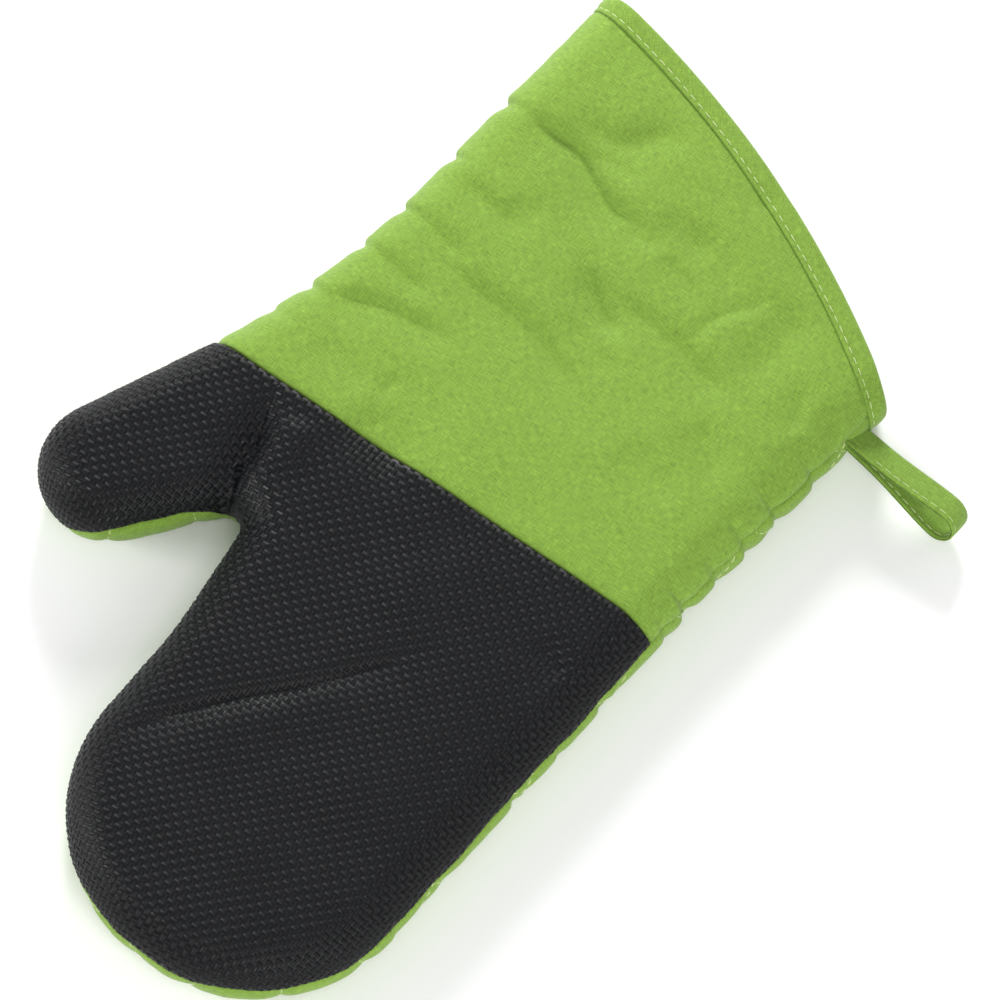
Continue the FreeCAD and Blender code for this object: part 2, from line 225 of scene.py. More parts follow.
def value_noise(x, y, scale, seed):
    """Smooth noise in -1..1 on a lattice of the given cell size."""
    rng = np.random.default_rng(seed)
    table = rng.uniform(-1, 1, (128, 128))
    u, v = x / scale + 40, y / scale + 40
    i, j = np.floor(u).astype(int), np.floor(v).astype(int)
    a, b = u - i, v - j
    a, b = a * a * a * (a * (a * 6 - 15) + 10), b * b * b * (b * (b * 6 - 15) + 10)
    i, j, i1, j1 = i % 128, j % 128, (i + 1) % 128, (j + 1) % 128
    return ((table[i, j] * (1 - a) + table[i1, j] * a) * (1 - b)
            + (table[i, j1] * (1 - a) + table[i1, j1] * a) * b)


def smooth_path(path, rounds=3):
    """A path, as points or as text "x,y x,y", with its corners cut, so that a fold along it bends softly."""
    pts = np.array([q.split(",") for q in path.split()] if isinstance(path, str) else path, float)
    for _ in range(rounds if len(pts) > 2 else 0):
        a = pts[:-1] * 0.75 + pts[1:] * 0.25
        b = pts[:-1] * 0.25 + pts[1:] * 0.75
        pts = np.concatenate([pts[:1], np.stack([a, b], 1).reshape(-1, 2), pts[-1:]])
    return pts


FOLD_END = 0.35     # share of a fold's length over which each end fades out


def fold(x, y, path, depth, left, right, power):
    """A soft fold along a path: its depth, and its reach to the left and right of the path's direction."""
    pts = smooth_path(path)
    best = np.full(x.shape, 1e9)
    sign = np.zeros(x.shape)
    along = np.zeros(x.shape)
    seg = np.linalg.norm(np.diff(pts, axis=0), axis=1)
    total, run = seg.sum(), 0.0
    for a, b, length in zip(pts[:-1], pts[1:], seg):
        d = (b - a) / length
        t = np.clip((x - a[0]) * d[0] + (y - a[1]) * d[1], 0, length)
        px, py = x - a[0] - d[0] * t, y - a[1] - d[1] * t
        dist = np.hypot(px, py)
        near = dist < best
        best = np.where(near, dist, best)
        sign = np.where(near, d[0] * py - d[1] * px, sign)
        along = np.where(near, (run + t) / total, along)
        run += length
    reach = np.where(sign > 0, left, right)
    shape = np.exp(-np.power(best / reach, 1 + power))
    taper = np.clip(np.minimum(along, 1 - along) / FOLD_END, 0, 1)
    return depth * shape * ease(taper)


# Folds of the cuff and creases of the grip: path, depth, reach left, reach right, sharpness.
CUFF_FOLDS = [
    ("-94,113 -87,113 -76,114 -65,116 -55,111 -45,107 -33,107 -20,108", -2.5, 2.6, 8.5, 0.4),
    ("-77,124 -69,123 -59,123 -53,126 -47,135 -34,142", -1.5, 5.0, 7.0, 0.7),
    ("-32,88 -24,83 -14,84 -4,84 8,83 23,81 38,78", -1.8, 3.4, 9.0, 0.5),
    ("-34,89 -29,81 -20,75 -12,72", -1.1, 5.0, 6.0, 0.8),
    ("-90,58 -76,57 -62,57 -50,58 -37,58 -21,54 -4,49 8,45", -1.8, 3.4, 9.5, 0.5),
    ("-104,23 -92,26 -84,31 -72,35 -60,37 -46,37", -1.7, 3.0, 8.5, 0.5),
    ("-98,48 -86,46 -74,45 -65,46", -1.3, 3.2, 6.0, 0.5),
    ("-99,67 -86,64 -72,63 -63,61", -1.3, 3.2, 6.0, 0.5),
    ("-95,88 -82,83 -68,82 -52,84", -1.4, 3.2, 6.5, 0.5),
    ("27,125 28,116 29,105 28,95 20,85", -1.5, 8.0, 10.0, 0.9),
    ("-23,115 -14,116 -5,114 3,109 6,99", -1.0, 6.0, 8.0, 0.8),
    ("-31,113 -16,114 -6,117", -0.9, 5.0, 6.0, 0.8),
    ("53,101 61,94 67,85 69,76", -1.5, 2.6, 5.5, 0.5),
    ("53,83 59,70 60,56", -1.3, 2.6, 5.5, 0.5),
    ("69,62 64,60 61,49 58,33", -1.5, 2.2, 5.0, 0.4),
    ("68,48 64,44 62,34 59,21", -1.5, 2.2, 5.0, 0.4),
    ("66,19 63,17 58,15 51,11", -1.0, 4.0, 5.0, 0.8),
    ("-62,4 -54,-2 -45,-4 -34,1", -0.9, 7.0, 9.0, 0.9),
    ("-90,8 -75,10 -60,8", -0.8, 7.0, 8.0, 0.9),
    ("11,48 25,41 40,44", -0.9, 8.0, 9.0, 0.9),
    ("24,68 36,59 47,60", -0.9, 8.0, 9.0, 0.9),
    ("-64,115 -54,118 -46,120 -38,117", -0.8, 2.4, 6.0, 0.6),
    ("-41,94 -36,87 -26,79 -15,75 -5,76", -1.0, 2.4, 6.0, 0.6),
    ("-21,107 -13,103 -2,101 6,97", -1.0, 2.4, 6.0, 0.6),
    ("-34,69 -23,66 -12,64 -1,67", -0.8, 2.4, 6.0, 0.6),
    ("11,82 6,91 8,101 14,108 19,119", -1.0, 5.0, 2.4, 0.6),
    ("46,101 45,97 49,90 55,85", -0.9, 2.4, 5.0, 0.6),
    ("-38,103 -29,104 -20,107", -0.7, 2.2, 5.0, 0.6),
    ("-11,133 -4,142 1,154", -0.5, 6.0, 2.6, 0.6),
    ("-59,19 -58,12 -60,6", -0.8, 2.4, 5.0, 0.6),
    ("-72,85 -63,89 -56,90", -0.6, 2.4, 6.0, 0.6),
]
GRIP_FOLDS = [
    ("-61,-145 -50,-133 -36,-112 -26,-98 -14,-84 -2,-67 8,-50 14,-40", -1.9, 2.6, 7.0, 0.35),
    ("-44,-136 -24,-108 -4,-76 6,-58", 0.8, 8, 8, 1),
    ("33,-20 42,-25 52,-27", -0.8, 4, 6, 0.8),
    ("-40,-60 -20,-52 4,-22", 0.5, 14, 14, 1),
    ("56,-60 46,-66", -0.5, 3, 4, 0.6),
]
CREASE_MID = np.array([-77.6, -33.0])
THUMB_FOLDS = [
    ([crease_foot - 38 * edge(S_CREASE)[1], crease_foot, CREASE_MID, CREASE_TOP], -3.6, 6.4, 3.4, 0.6),
    ("-66,-34 -70,-22 -74,-12", 1.1, 8, 6, 1),
]


def hem_distance(plan):
    """Distance from the hem circle's centre."""
    return np.hypot(plan[..., 0] - HEM_C[0], plan[..., 1] - HEM_C[1])


def pressed(radius):
    """How far a distance from the hem circle's centre lies in the zone that the hem presses flat, 0 to 1."""
    return np.clip((radius - (HEM_R - 24)) / 22, 0, 1)


def top_field(x, y, inside):
    """Rise of the palm side above the flat top; inside is the distance from the outline."""
    d = np.clip(inside, 0, 60)
    z = 1.9 * (1 - np.exp(-d / 16.0))
    for gain, folds in ((1.8, CUFF_FOLDS), (1.4, GRIP_FOLDS + THUMB_FOLDS)):
        for row in folds:
            z = z + gain * fold(x, y, *row)
    z = z + 0.5 * value_noise(x, y, 24, 3) + 0.16 * value_noise(x, y, 10, 4)
    cuff = np.clip((seam_side(np.stack([x, y], -1)) + 2) / 12, 0, 1)
    z = z + 0.45 * cuff * value_noise(x, y * 3.0 + 0.5 * x, 22, 11)
    t = pressed(hem_distance(np.stack([x, y], -1)))
    return z * (1 - 0.55 * t * t) - 1.7 * ease(t)


QUILT = 30.8                # pitch of the quilting lines
QUILT_AT = (27.6, 60.1)     # place of one line of each of the two crossing families
ROOT2 = math.sqrt(2)


def quilt_lines(u, v):
    """Distance in mm to the nearest quilting line of each family."""
    turns = [(across / ROOT2 - at) / QUILT for across, at in zip((u + v, u - v), QUILT_AT)]
    return [np.abs(turn - np.round(turn)) * QUILT for turn in turns]


def back_swell(u, v):
    da, db = quilt_lines(u, v)
    puff = np.minimum(1 - np.exp(-da / 3.0), 1 - np.exp(-db / 3.0))
    return -2.3 * (1 - puff) + 0.15 * value_noise(u, v, 12, 9)


# ---- panels


def inside_polygon(p, poly):
    out = np.zeros(len(p), bool)
    a, b = poly, np.roll(poly, -1, axis=0)
    for k in range(0, len(p), 4000):
        x, y = p[k:k + 4000, 0][:, None], p[k:k + 4000, 1][:, None]
        hit = ((a[:, 1] > y) != (b[:, 1] > y))
        dy = np.where(b[:, 1] == a[:, 1], 1e-12, b[:, 1] - a[:, 1])
        xx = a[:, 0] + (y - a[:, 1]) * (b[:, 0] - a[:, 0]) / dy
        out[k:k + 4000] = (hit & (x < xx)).sum(1) % 2 == 1
    return out


def tree_of(cloud):
    tree = kdtree.KDTree(len(cloud))
    for i, c in enumerate(cloud):
        tree.insert((c[0], c[1], 0), i)
    tree.balance()
    return tree


def nearest(p, cloud):
    """Distance from each point to a dense cloud of points."""
    tree = tree_of(cloud)
    return np.array([tree.find((q[0], q[1], 0))[2] for q in p])


def resample(path, step):
    path = np.array(path, float)
    run = run_along(path)
    t = np.linspace(0, run[-1], max(2, int(round(run[-1] / step)) + 1))
    return np.stack([np.interp(t, run, path[:, k]) for k in (0, 1)], -1)


TO_CLOTH = np.array([[math.cos(SEAM_TILT), math.sin(SEAM_TILT)], [-math.sin(SEAM_TILT), math.cos(SEAM_TILT)]])
HEM_REACH, DROP_REACH = 34, 30      # how far from a hem or seam end its slide fades out


def shear_of(s):
    """How far a rim line slides along the edge, so that the last one follows the hem."""
    ends = ((S_HEM_R, SHEAR_R, HEM_REACH), (S_HEM_L, SHEAR_L, HEM_REACH), (S_SEAM_L, -SEAM_DROP, DROP_REACH))
    return sum(amount * ease(np.clip(1 - np.abs(s - end) / reach, 0, 1)) for end, amount, reach in ends)


def rim_point(s, psi):
    """Plan point on the rim at a station and an angle from the middle plane."""
    depth = RIM * (1 - np.cos(psi))
    p, n = edge(s + shear_of(s) * depth / RIM)
    return p + n * depth[..., None], n


def find_shear(s_end):
    """The slide that brings the rim's top to the hem circle, out of evenly spaced tries."""
    tries = np.linspace(-20, 20, 401)
    p, n = edge(s_end + tries)
    return tries[np.argmin(np.abs(np.linalg.norm(p + n * RIM - HEM_C, axis=1) - COVER_END))]


SHEAR_L = find_shear(S_HEM_L)
SHEAR_R = find_shear(S_HEM_R)


class Panel:
    """A sheet of cloth on one side of the mitt, as arrays over its vertices.

    plan is the place seen from above, psi the angle on the round edge, rim_s the station along the edge or
    -1 on the flat, normal the outward normal, base the place on the plain mitt and uv the place on the cloth.
    """

    CLEAR = 0.62        # grid points stay this share of a cell away from the loop
    # For each side of a cell: the neighbour in the padded table, and the side's two corners.
    CELL_SIDES = ((1, 0, 0, 0, 1, 0), (1, 2, 0, 1, 1, 1), (0, 1, 0, 0, 0, 1), (2, 1, 1, 0, 1, 1))

    def __init__(self, rings, cuts, face, grid, step):
        self.face, self.rows, self.quads = face, [], []
        loop, loop_index = [], []
        for (s0, s1), cut in zip(rings, cuts):
            for points, index in (self.add_rim(s0, s1, step), self.add_line(cut, step)):
                loop += list(points)
                loop_index += list(index)
        loop = np.array(loop)
        self.tris = self.strip(loop, loop_index, grid, *self.add_grid(loop, grid))
        self.quads = np.concatenate(self.quads)
        table = np.concatenate(self.rows)
        self.plan, self.psi, self.rim_s = table[:, :2], table[:, 2], table[:, 3]
        self.finish()

    def add(self, plan, psi=math.pi / 2, rim_s=-1.0):
        """Add vertices and return their numbers."""
        rows = np.empty((len(plan), 4))
        rows[:, :2], rows[:, 2], rows[:, 3] = plan, psi, rim_s
        first = sum(len(r) for r in self.rows)
        self.rows.append(rows)
        return first + np.arange(len(plan))

    def add_quads(self, *corners):
        quads = np.stack(corners, -1).reshape(-1, 4)
        self.quads.append(quads if self.face > 0 else quads[:, ::-1])

    def add_rim(self, s0, s1, step):
        """The round edge between two stations, from the side seam up to the flat; returns its upper line."""
        s = np.linspace(s0, s1, max(3, int(round((s1 - s0) / step)) + 1))
        low = self.face * alpha(s)[:, None]
        rows = max(6, int(round(RIM * (math.pi / 2 - low.min()) / step)) + 1)
        angle = low + (math.pi / 2 - low) * np.linspace(0, 1, rows)
        station_of = np.repeat(s[:, None], rows, 1)
        p, _ = rim_point(station_of, angle)
        k = self.add(p.reshape(-1, 2), angle.reshape(-1), station_of.reshape(-1)).reshape(angle.shape)
        self.add_quads(k[:-1, :-1], k[1:, :-1], k[1:, 1:], k[:-1, 1:])
        return p[:, -1], k[:, -1]

    def add_line(self, cut, step):
        """A cut across the flat, from ready points or from the corners of a path."""
        line = cut if isinstance(cut, np.ndarray) else resample(cut, step)[1:-1]
        return line, self.add(line)

    def add_grid(self, loop, grid):
        """Square cells, lined up with the grip's seam, wherever they fit inside the loop."""
        turned = loop @ TO_CLOTH.T / grid
        gx, gy = (np.arange(math.floor(a), math.ceil(b) + 1) for a, b in zip(turned.min(0), turned.max(0)))
        world = (np.stack(np.meshgrid(gx, gy, indexing="ij"), -1) * grid) @ TO_CLOTH
        ok = inside_polygon(world.reshape(-1, 2), loop).reshape(len(gx), len(gy))
        ok[ok] = nearest(world[ok], loop) > self.CLEAR * grid
        cell = ok[:-1, :-1] & ok[1:, :-1] & ok[1:, 1:] & ok[:-1, 1:]
        used = np.zeros_like(ok)
        for i, j in ((0, 0), (0, 1), (1, 0), (1, 1)):
            used[i:i + cell.shape[0], j:j + cell.shape[1]] |= cell
        number = np.full(ok.shape, -1)
        number[used] = self.add(world[used])
        i, j = np.where(cell)
        self.add_quads(number[i, j], number[i + 1, j], number[i + 1, j + 1], number[i, j + 1])
        return number, cell, (int(gx[0]), int(gy[0]))

    def strip(self, loop, loop_index, grid, number, cell, first):
        """Triangles between the loop and the stepped border of the cells."""
        plan = np.concatenate(self.rows)[:, :2]
        pad = np.pad(cell, 1)
        border = [(number[i + ai, j + aj], number[i + bi, j + bj]) for i, j in zip(*np.where(cell))
                  for ni, nj, ai, aj, bi, bj in self.CELL_SIDES if not pad[i + ni, j + nj]]
        ids = list(loop_index) + sorted({k for side in border for k in side})
        local = {}
        for k, g in enumerate(ids):
            local.setdefault(g, k)
        around = len(loop_index)
        sides = [(k, (k + 1) % around) for k in range(around)] + [(local[a], local[b]) for a, b in border]
        out = geometry.delaunay_2d_cdt([Vector(plan[g]) for g in ids], sides, [], 1, 1e-6, True)
        place = np.array([(v.x, v.y) for v in out[0]])
        tris = []
        for corners in out[2]:
            middle = place[list(corners)].mean(0)
            i, j = (int(math.floor(c)) - f for c, f in zip(middle @ TO_CLOTH.T / grid, first))
            in_cell = 0 <= i < cell.shape[0] and 0 <= j < cell.shape[1] and cell[i, j]
            if in_cell or not inside_polygon(middle[None], loop)[0] or not all(out[3][k] for k in corners):
                continue
            g = [ids[out[3][k][0]] for k in corners]
            (ax, ay), (bx, by), (cx, cy) = plan[g]
            area = (bx - ax) * (cy - ay) - (by - ay) * (cx - ax)
            if abs(area) > 1e-9:
                tris.append(g[::-1] if (area < 0) == (self.face > 0) else g)
        return np.array(tris, int).reshape(-1, 3)

    def finish(self):
        """Places and normals on the plain mitt, and places on the flat cloth."""
        on_rim = self.rim_s >= 0
        n2 = np.zeros_like(self.plan)
        s_true = self.rim_s + shear_of(self.rim_s) * (1 - np.cos(self.psi))
        n2[on_rim] = edge(s_true[on_rim])[1]
        cosine, sine = np.cos(self.psi), np.sin(self.psi)
        cosine = np.where(on_rim, cosine, 0.0)
        self.normal = np.concatenate([-n2 * cosine[:, None], (self.face * np.where(on_rim, sine, 1.0))[:, None]], 1)
        self.base = np.concatenate([self.plan, (MID_Z + self.face * RIM * np.where(on_rim, sine, 1.0))[:, None]], 1)
        stretch = np.where(on_rim, RIM * (math.pi / 2 - self.psi) - RIM * cosine, 0.0)
        flat = self.plan - n2 * stretch[:, None]
        self.uv = flat @ TO_CLOTH.T
        depth = RIM * (1 - np.cos(self.psi))
        inner = nearest(self.plan[~on_rim], SP[::5])
        self.inside = depth.copy()
        self.inside[~on_rim] = inner
        self.rise = np.where(on_rim, np.clip(sine, 0, 1) ** 1.2, 1.0)

    def lift(self):
        """How far the soft relief of the palm side raises each vertex."""
        if self.face < 0:
            return np.zeros(len(self.base))
        return top_field(self.plan[:, 0], self.plan[:, 1], self.inside) * self.rise

    def polygons(self):
        """All faces, and the directed edges that only one face has."""
        polys = self.quads.tolist() + self.tris.tolist()
        edges = {}
        for f in polys:
            for a, b in zip(f, f[1:] + f[:1]):
                if (b, a) in edges:
                    del edges[(b, a)]
                else:
                    edges[(a, b)] = 1
        return polys, edges


def ring_end(s):
    """Plan point at the top of the round edge."""
    p, _ = rim_point(np.array([s]), np.array([math.pi / 2]))
    return p[0]


def hem_arc(step):
    t0, t1 = (bearing(ring_end(s) - HEM_C) for s in (S_HEM_R, S_HEM_L))
    n = max(3, int(abs(t1 - t0) * COVER_END / step))
    return HEM_C + polar(COVER_END, np.linspace(t0, t1, n)[1:-1])


END_SEAM_L, END_SEAM_R, END_CREASE = ring_end(S_SEAM_L), ring_end(S_SEAM_R), ring_end(S_CREASE)
CREASE_PATH = [END_CREASE, CREASE_MID, CREASE_TOP]


def thumb_panel(face, grid, step):
    return Panel([(S_SEAM_L, S_CREASE)], [[*CREASE_PATH, END_SEAM_L]], face, grid, step)


def palm_hand_panel(grid, step):
    return Panel([(S_CREASE, S_SEAM_R)], [[END_SEAM_R, *CREASE_PATH[::-1]]], 1, grid, step)


def cuff_panel(grid, step):
    return Panel([(S_HEM_L, S_SEAM_L), (S_SEAM_R, S_HEM_R)], [[END_SEAM_L, END_SEAM_R], hem_arc(step)], 1, grid, step)


def whole_hand_panel(face, grid, step):
    return Panel([(S_HEM_L, S_SEAM_L), (S_CREASE, S_HEM_R)], [[END_SEAM_L, *CREASE_PATH[::-1]], hem_arc(step)],
                 face, grid, step)


def seam_distance(panel):
    """Flat distance to the grip's seam with the cuff."""
    inner = np.abs(seam_side(panel.plan))
    along = np.minimum(np.abs(panel.rim_s - S_SEAM_L), np.abs(panel.rim_s - S_SEAM_R))
    return np.where(panel.rim_s >= 0, along, inner)


def rim_seam_distance(panel):
    gap = RIM * (panel.psi - panel.face * alpha(panel.rim_s))
    return np.where(panel.rim_s >= 0, gap, 99.0)


def roll(distance, width):
    """Depth below the surface of an edge that turns under into a seam."""
    t = np.clip(1 - distance / width, 0, 1)
    return width * (1 - np.sqrt(np.clip(1 - t * t, 0, 1)))


# Puckers along the side seam: station and depth, with the cuff's right side the most gathered.
PUCKERS = [(station(61.5, y), d) for y, d in ((19, 1.7), (9, 0.9), (-23, 0.9), (-44, 0.7), (-66, 0.9), (-124, 0.5),
                                             (34, 1.0), (48, 1.5), (62, 1.4), (80, 1.0))]
PUCKERS += [(station(x, y), d) for x, y, d in ((-102, 26, 1.7), (-99, 48, 1.5), (-97, 66, 1.6), (-95, 90, 1.5),
                                              (-93, 115, 1.7), (-106, 12, 0.8), (-120, -25, 0.4))]


def pucker(s):
    out = np.zeros_like(s)
    for at, depth in PUCKERS:
        d = s - at
        out += 1.2 * depth * np.exp(-(d / np.where(d > 0, 4.0, 1.3)) ** 2) - 0.35 * depth * np.exp(-(d / 10.0) ** 2)
    return out + 0.12 * np.sin(s / 2.1) * np.sin(s / 7.7)


def to_mesh(name, co, polys, uv, material):
    """An object from points in mm; uv is the place on the flat cloth in mm."""
    mesh = bpy.data.meshes.new(name)
    mesh.from_pydata((co * MM).tolist(), [], polys)
    mesh.polygons.foreach_set("use_smooth", [True] * len(mesh.polygons))
    if uv is not None:
        layer = mesh.uv_layers.new(name="cloth")
        loops = np.empty(len(mesh.loops), int)
        mesh.loops.foreach_get("vertex_index", loops)
        layer.data.foreach_set("uv", (uv[loops] * 0.1).astype(np.float32).reshape(-1))
    mesh.validate()
    mesh.materials.append(material)
    return add_object(name, mesh)


def tube(rings, around, flip=False, skip=(), capped=False):
    """Faces between rings of points that follow one another, with some strips left out."""
    faces = []
    for i in range(rings - 1):
        for k in range(around):
            if k not in skip:
                a, b = i * around + k, i * around + (k + 1) % around
                faces.append([a, a + around, b + around, b] if flip else [a, b, b + around, a + around])
    if capped:
        first, last = list(range(around)), [(rings - 1) * around + k for k in range(around)]
        faces += [first, last[::-1]] if flip else [first[::-1], last]
    return faces


def sheet_mesh(name, panel, displace, tuck, material):
    """The panel's outer face with its edges turned under at the seams."""
    co = panel.base + panel.normal * displace[:, None]
    co[:, 2] += panel.lift()
    polys, edges = panel.polygons()
    new, index = [], {}
    uv = [panel.uv]
    for a, b in edges:
        for k in (a, b):
            if k not in index:
                index[k] = len(co) + len(new)
                new.append(co[k] - panel.normal[k] * tuck)
    uv.append(panel.uv[list(index)])
    for a, b in edges:
        polys.append([b, a, index[a], index[b]])
    co = np.concatenate([co, np.array(new)])
    return to_mesh(name, co, polys, np.concatenate(uv), material)


def layer_mesh(name, panel, outer, inner, material):
    """A closed layer between two depths below the panel's outer face."""
    lift = panel.lift()
    a = panel.base - panel.normal * outer[:, None]
    b = panel.base - panel.normal * inner[:, None]
    a[:, 2] += lift
    b[:, 2] += lift * 0.85
    n = len(a)
    polys, edges = panel.polygons()
    under = [[k + n for k in f[::-1]] for f in polys]
    walls = [[q, p, p + n, q + n] for p, q in edges]
    uv = np.concatenate([panel.uv, panel.uv])
    return to_mesh(name, np.concatenate([a, b]), polys + under + walls, uv, material)


# ---- material helpers


class Nodes:
    """Short calls for building a material's node tree."""

    def __init__(self, name):
        self.material = bpy.data.materials.new(name)
        self.material.use_nodes = True
        self.tree = self.material.node_tree
        self.shader = self.tree.nodes["Principled BSDF"]

    def put(self, socket, value):
        if isinstance(value, bpy.types.NodeSocket):
            self.tree.links.new(value, socket)
        else:
            socket.default_value = value

    def node(self, kind, inputs=(), **props):
        node = self.tree.nodes.new(kind)
        for key, value in props.items():
            setattr(node, key, value)
        for key, value in dict(inputs).items():
            self.put(node.inputs[key], value)
        return node

    def math(self, op, a, b=0.0, clamp=False):
        return self.node("ShaderNodeMath", {0: a, 1: b}, operation=op, use_clamp=clamp).outputs[0]

    def add(self, a, b):
        return self.math("ADD", a, b)

    def sub(self, a, b, clamp=False):
        return self.math("SUBTRACT", a, b, clamp)

    def mul(self, a, b, clamp=False):
        return self.math("MULTIPLY", a, b, clamp)

    def place(self):
        return self.node("ShaderNodeTexCoord").outputs["Object"]

    def uv(self):
        return self.node("ShaderNodeUVMap", uv_map="cloth").outputs["UV"]

    def split(self, vector):
        node = self.node("ShaderNodeSeparateXYZ", {0: vector})
        return node.outputs[0], node.outputs[1]

    def scaled(self, vector, x, y):
        return self.node("ShaderNodeMapping", {"Vector": vector, "Scale": (x, y, 1.0)}).outputs[0]

    def noise(self, vector, scale, detail=2.0, rough=0.5):
        inputs = {"Vector": vector, "Scale": scale, "Detail": detail, "Roughness": rough}
        return self.node("ShaderNodeTexNoise", inputs).outputs["Fac"]

    def ramp(self, fac, stops):
        node = self.node("ShaderNodeValToRGB", {"Fac": fac})
        ramp = node.color_ramp
        while len(ramp.elements) < len(stops):
            ramp.elements.new(0.5)
        for element, (pos, color) in zip(ramp.elements, stops):
            element.position = pos
            element.color = (*color, 1)
        return node.outputs[0]

    def mix(self, fac, a, b):
        node = self.node("ShaderNodeMix", data_type="RGBA")
        self.put(node.inputs[0], fac)
        self.put(node.inputs[6], a if isinstance(a, bpy.types.NodeSocket) else (*a, 1))
        self.put(node.inputs[7], b if isinstance(b, bpy.types.NodeSocket) else (*b, 1))
        return node.outputs[2]

    def bump(self, height, distance, strength=1.0):
        return self.node("ShaderNodeBump", {"Height": height, "Distance": distance, "Strength": strength}).outputs[0]

    def set(self, **values):
        for key, value in values.items():
            self.put(self.shader.inputs[key.replace("_", " ")], value)
        return self.material


# The UV map holds centimetres of cloth, turned so that U runs along the grip's seam.
CELL = 2.2          # side of one square of the grip's basket weave, in mm


def grip_material():
    m = Nodes("grip_rubber")
    u, v = m.split(m.uv())
    cu = m.mul(u, 10 / CELL)
    cv = m.mul(v, 10 / CELL)
    fu = m.math("ABSOLUTE", m.sub(m.math("FRACT", cu), 0.5))
    fv = m.math("ABSOLUTE", m.sub(m.math("FRACT", cv), 0.5))
    parity = m.math("FLOORED_MODULO", m.add(m.math("FLOOR", cu), m.math("FLOOR", cv)), 2.0)
    across = m.add(m.mul(fv, m.sub(1.0, parity)), m.mul(fu, parity))
    along = m.add(m.mul(fu, m.sub(1.0, parity)), m.mul(fv, parity))
    dome = m.math("EXPONENT", m.mul(m.math("POWER", m.math("DIVIDE", across, 0.175), 2.0), -1.0))
    drop = m.sub(1.0, m.mul(m.math("POWER", m.mul(along, 2.0), 8.0), 0.5))
    height = m.mul(dome, drop, clamp=True)
    geo = m.place()
    fine = m.noise(geo, 2600, 3)
    patch = m.noise(geo, 60, 3)
    total = m.add(height, m.mul(fine, 0.22))
    # Painted shade and highlight: this ramp on the bars' height colours the grooves darker and the bars' crowns
    # lighter, standing in for shade in the grooves and light on the ridges.
    color = m.ramp(height, [(0.0, (0.0012, 0.0013, 0.0016)), (0.35, (0.0044, 0.0048, 0.0056)),
                            (1.0, (0.0088, 0.0094, 0.0108))])
    color = m.mix(m.mul(fine, 0.25), color, (0.015, 0.0162, 0.0185))
    color = m.mix(m.mul(m.sub(patch, 0.45, clamp=True), 0.3), color, (0.016, 0.0172, 0.0195))
    rough = m.add(0.30, m.mul(fine, 0.2))
    return m.set(Base_Color=color, Roughness=rough, Specular_IOR_Level=0.19, Sheen_Weight=0.0,
                 Normal=m.bump(total, 0.00042, 1.0))


def cotton_material(name, base, streak=1.0, thread=0.36):
    """Plain weave cotton: fine crossing threads with slubs along both."""
    m = Nodes(name)
    uv = m.uv()
    u, v = m.split(uv)
    k = 10 / thread * math.pi
    wu = m.math("SINE", m.mul(u, k))
    wv = m.math("SINE", m.mul(v, k))
    weave = m.mul(wu, wv)
    slub_u = m.noise(m.scaled(uv, 3.2, 36), 1.0, 1, 0.5)
    slub_v = m.noise(m.scaled(uv, 36, 3.2), 1.0, 1, 0.5)
    grain = m.noise(m.scaled(uv, 42, 42), 1.0, 2, 0.8)
    fleck = m.noise(m.scaled(uv, 11, 30), 1.0, 1, 0.5)
    slub = m.add(slub_u, m.mul(slub_v, 0.8))
    tone = m.add(m.mul(slub, 0.34), m.mul(grain, 0.39))
    dark = tuple(c * 0.6 for c in base)
    light = tuple(min(1, c * 1.42) for c in base)
    color = m.ramp(tone, [(0.36, dark), (0.5, base), (0.64, light)])
    spots = m.mul(m.sub(fleck, 0.68, clamp=True), 8.0, clamp=True)
    color = m.mix(m.mul(spots, 0.55 * streak), color, tuple(c * 0.3 for c in base))
    height = m.add(m.mul(weave, 0.3), m.mul(tone, 1.6))
    return m.set(Base_Color=color, Roughness=0.86, Specular_IOR_Level=0.25, Sheen_Weight=0.16, Sheen_Roughness=0.45,
                 Normal=m.bump(height, 0.00012, 0.7))


def thread_material(name, base):
    m = Nodes(name)
    geo = m.place()
    wave = m.node("ShaderNodeTexWave", {"Vector": geo, "Scale": 900, "Distortion": 1.0}, bands_direction="DIAGONAL")
    fac = wave.outputs["Fac"]
    color = m.mix(m.mul(fac, 0.35), base, tuple(c * 0.6 for c in base))
    return m.set(Base_Color=color, Roughness=0.6, Sheen_Weight=0.1, Normal=m.bump(fac, 0.00006, 0.6))


def wadding_material():
    m = Nodes("wadding")
    geo = m.place()
    fluff = m.noise(geo, 500, 4, 0.7)
    color = m.ramp(fluff, [(0.3, (0.62, 0.60, 0.55)), (0.7, (0.84, 0.83, 0.79))])
    return m.set(Base_Color=color, Roughness=0.95, Normal=m.bump(fluff, 0.0006, 0.8))


GREEN = (0.180, 0.306, 0.040)
MAT_GRIP = grip_material()
MAT_COTTON = cotton_material("green_cotton", GREEN)
MAT_BACK = cotton_material("green_quilted_cotton", tuple(c * 0.98 for c in GREEN))
MAT_BIND = cotton_material("green_bias_tape", tuple(c * 0.97 for c in GREEN), thread=0.42)
MAT_TAPE = cotton_material("green_loop_tape", tuple(c * 0.95 for c in GREEN), thread=0.42)
MAT_LINING = cotton_material("lining_cotton", (0.60, 0.58, 0.52), streak=0.6)
MAT_WADDING = wadding_material()
MAT_THREAD = thread_material("pale_thread", (0.46, 0.58, 0.22))

# ---- the cloths

